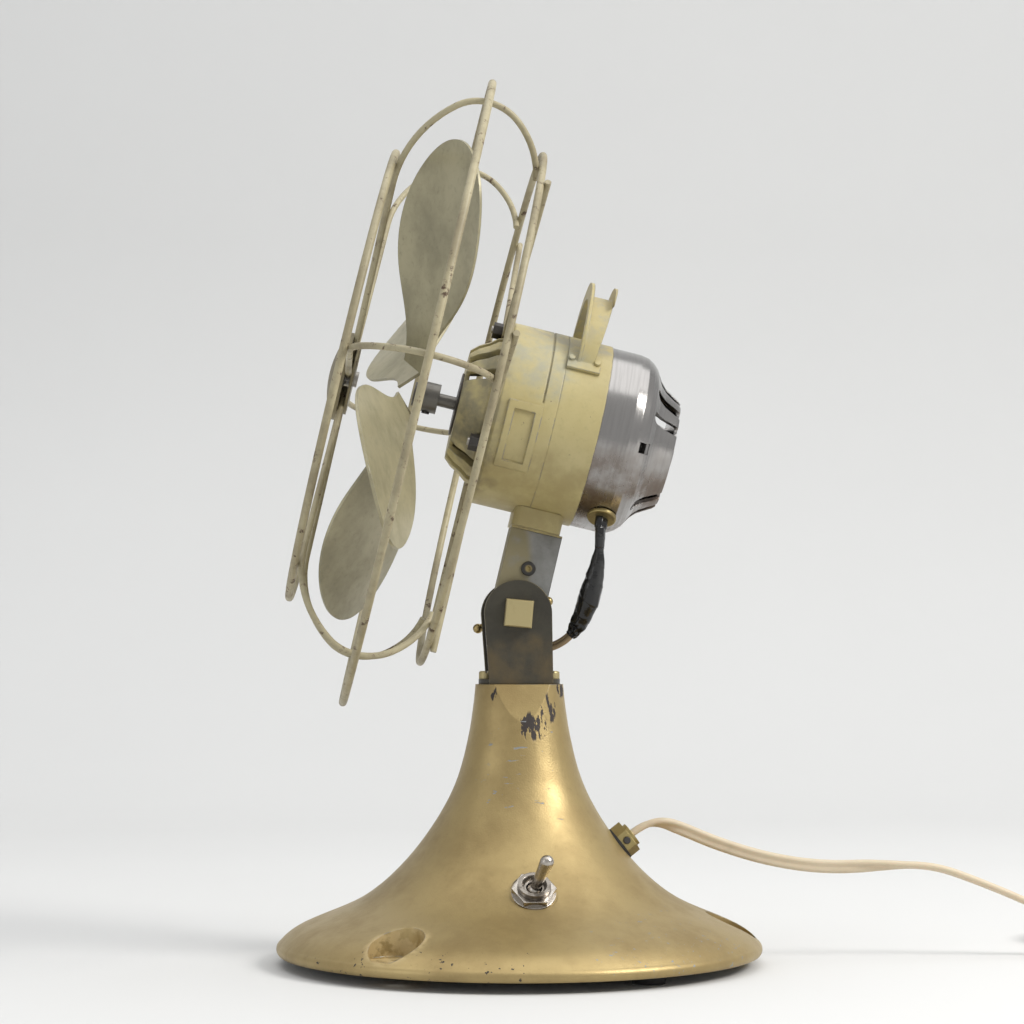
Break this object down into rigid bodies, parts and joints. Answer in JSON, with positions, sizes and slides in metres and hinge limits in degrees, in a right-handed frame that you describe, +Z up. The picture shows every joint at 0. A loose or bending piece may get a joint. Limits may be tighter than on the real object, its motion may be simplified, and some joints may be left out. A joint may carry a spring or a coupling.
{
  "type": "desk fan",
  "caption": "Vintage mains desk fan: caged fan and motor tilting in a fork on a flared metal base, with toggle switch, clamp, carrying handle, cord and plug.",
  "frame": {"origin": "on the table, under the axis of the round base", "axes": "+Z up, the fan faces -X, the switch is on the -Y side and the cord leaves towards +X"},
  "size_m": [0.4007, 0.2511, 0.3339],
  "materials": {
    "base_paint": "satin antique gold, worn",
    "plate_steel": "dull zinc plate",
    "rubber": "black moulded",
    "screw_steel": "plain",
    "fork_metal": "dark worn",
    "bolt_brass": "satin",
    "stem_metal": "worn, partly painted",
    "fibre": "red-brown fibre",
    "cream_paint": "satin cream, worn",
    "cap_steel": "polished, tarnished",
    "dark_steel": "blackened",
    "cage_paint": "cream, rusting",
    "badge_metal": "bare domed disc",
    "blade_paint": "cream, worn to grey",
    "shaft_steel": "ground",
    "bronze": "sintered",
    "copper": "varnished winding",
    "core_iron": "laminated",
    "bridge_metal": "cast",
    "nickel": "nickel plate",
    "switch_case": "moulded phenolic",
    "gland_brass": "satin",
    "cord_cover": "old ivory",
    "plug_cover": "old ivory",
    "pin_brass": "plain",
    "black_tape": "wound tape"
  },
  "bodies": {
    "base": {"base_shell": "base_paint", "base_cover_plate": "plate_steel", "base_feet": "rubber", "base_cover_screws": "screw_steel", "neck_fork": "fork_metal", "fork_screws": "bolt_brass", "pivot_bolt": "bolt_brass", "pivot_washers": "fibre", "toggle_body": "switch_case", "toggle_terminals": "pin_brass", "toggle_washer": "nickel", "toggle_nut": "nickel", "toggle_back_nut": "nickel", "cord_gland_gasket": "rubber", "cord_gland_nipple": "gland_brass", "cord_gland_collar": "gland_brass", "cord_gland_screw": "dark_steel", "cord_gland_back_nut": "gland_brass", "power_cord": "cord_cover", "power_cord_coil": "cord_cover", "power_cord_tail": "cord_cover", "plug_body": "plug_cover", "plug_pins": "pin_brass"},
    "clamp": {"clamp_nut": "dark_steel", "tommy_bar": "bolt_brass"},
    "lever": {"toggle_lever": "nickel"},
    "head": {"stem": "stem_metal", "stem_rivet": "bolt_brass", "saddle": "cream_paint", "stem_screws": "screw_steel", "front_shell": "cream_paint", "rear_shell": "cream_paint", "rear_cap": "cap_steel", "front_bearing": "bronze", "front_bearing_plate": "dark_steel", "rear_bearing_bridge": "bridge_metal", "rear_bearing": "bronze", "stator_core": "core_iron", "field_coils": "copper", "through_bolts": "screw_steel", "grommet": "bolt_brass", "handle": "cream_paint", "handle_rivets": "screw_steel", "cage_front_ring": "cage_paint", "cage_middle_ring": "cage_paint", "cage_rear_ring": "cage_paint", "cage_hoops": "cage_paint", "cage_legs": "cage_paint", "cage_nuts": "dark_steel", "badge": "badge_metal", "badge_back_plate": "badge_metal", "badge_screw": "screw_steel", "motor_lead": "cord_cover", "lead_splice": "black_tape"},
    "rotor": {"rotor_core": "core_iron", "motor_shaft": "shaft_steel", "thrust_collars": "bronze", "fan_hub": "shaft_steel", "hub_set_screw": "dark_steel", "fan_blades": "blade_paint"}
  },
  "joints": [
    {"name": "head_tilt", "type": "hinge", "parent": "base", "child": "head", "pos_m": [-0.0012, 0, 0.1312], "axis": [0, 1, 0], "range_deg": [-30, 30], "deforming": ["motor_lead", "lead_splice"]},
    {"name": "fan_spin", "type": "hinge", "parent": "head", "child": "rotor", "pos_m": [0.01557, 0, 0.20214], "axis": [0.9732, 0, -0.23], "continuous": true},
    {"name": "switch_throw", "type": "hinge", "parent": "base", "child": "lever", "pos_m": [0.00117, -0.05134, 0.03136], "axis": [-0.0172, 0.7563, 0.654], "range_deg": [-28, 0]},
    {"name": "clamp_turn", "type": "hinge", "parent": "base", "child": "clamp", "pos_m": [-0.0012, 0, 0.1312], "axis": [0, 1, 0], "range_deg": [0, 180]}
  ]
}
